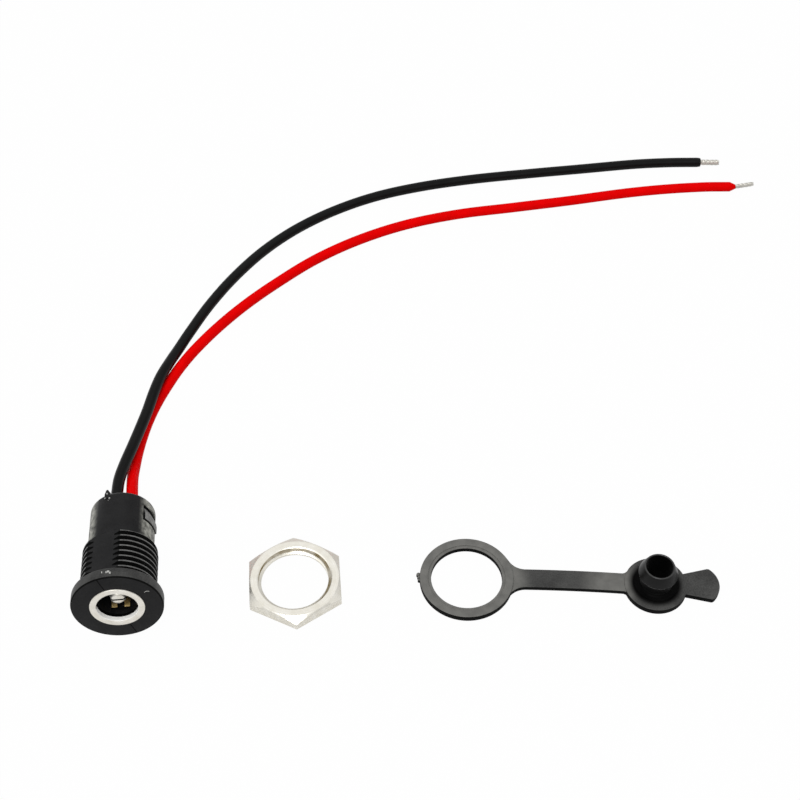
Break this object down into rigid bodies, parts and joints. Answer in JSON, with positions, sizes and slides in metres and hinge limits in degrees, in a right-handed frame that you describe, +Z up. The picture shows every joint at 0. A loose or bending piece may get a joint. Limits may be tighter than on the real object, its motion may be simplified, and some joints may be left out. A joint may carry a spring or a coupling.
{
  "type": "waterproof dc power socket",
  "caption": "Panel-mount DC power socket with threaded barrel, clip-on rear cover and flying leads, lying beside its hexagonal panel nut and tethered rubber sealing cap.",
  "frame": {"origin": "on the surface the pieces lie on, under the middle of the box round the socket, the nut and the cap, with the leads left out", "axes": "+X from the socket past the nut to the cap, +Y towards the far ends of the leads, +Z up"},
  "size_m": [0.1186, 0.111, 0.0137],
  "materials": {
    "socket_plastic": "fine matt texture",
    "cover_plastic": "fine matt texture",
    "nickel": "satin nickel plate",
    "spring_bronze": "bright rolled strip",
    "seal_rubber": "soft moulded rubber",
    "solder": "dull solder",
    "tinned_copper": "tinned strands",
    "red_insulation": "smooth soft insulation",
    "black_insulation": "smooth soft insulation",
    "nut_nickel": "satin nickel plate",
    "cap_rubber": "satin moulded rubber"
  },
  "bodies": {
    "root": {"socket_body": "socket_plastic", "mouth_ring": "nickel", "centre_pin": "nickel", "sleeve_spring": "spring_bronze", "rear_cover": "cover_plastic", "lead_seal": "seal_rubber", "pin_solder": "solder", "spring_solder": "solder", "red_conductor": "tinned_copper", "black_conductor": "tinned_copper", "red_lead": "red_insulation", "black_lead": "black_insulation", "red_tinned_end": "tinned_copper", "black_tinned_end": "tinned_copper", "hex_nut": "nut_nickel", "sealing_cap": "cap_rubber"}
  },
  "joints": []
}
